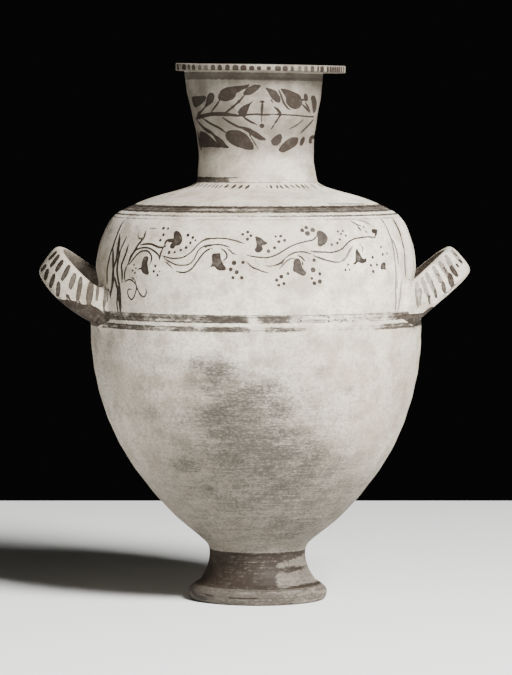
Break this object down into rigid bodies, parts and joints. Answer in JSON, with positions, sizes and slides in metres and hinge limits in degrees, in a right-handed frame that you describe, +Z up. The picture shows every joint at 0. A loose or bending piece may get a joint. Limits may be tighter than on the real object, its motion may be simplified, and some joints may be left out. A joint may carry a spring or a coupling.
{
  "type": "hydria",
  "caption": "Hollow fired-clay water jar with ring foot, egg-shaped body, waisted neck, flat lip, two canted side handles and an upright back handle.",
  "frame": {"origin": "centre of the foot's underside, on the surface the jar stands on", "axes": "+Z up along the jar's upright axis; the painted front faces -Y, the upright handle is at +Y and the side handles are at -X and +X"},
  "size_m": [0.3375, 0.2586, 0.4209],
  "materials": {
    "clay": "matte"
  },
  "bodies": {
    "root": {"hydria": "clay"}
  },
  "joints": []
}
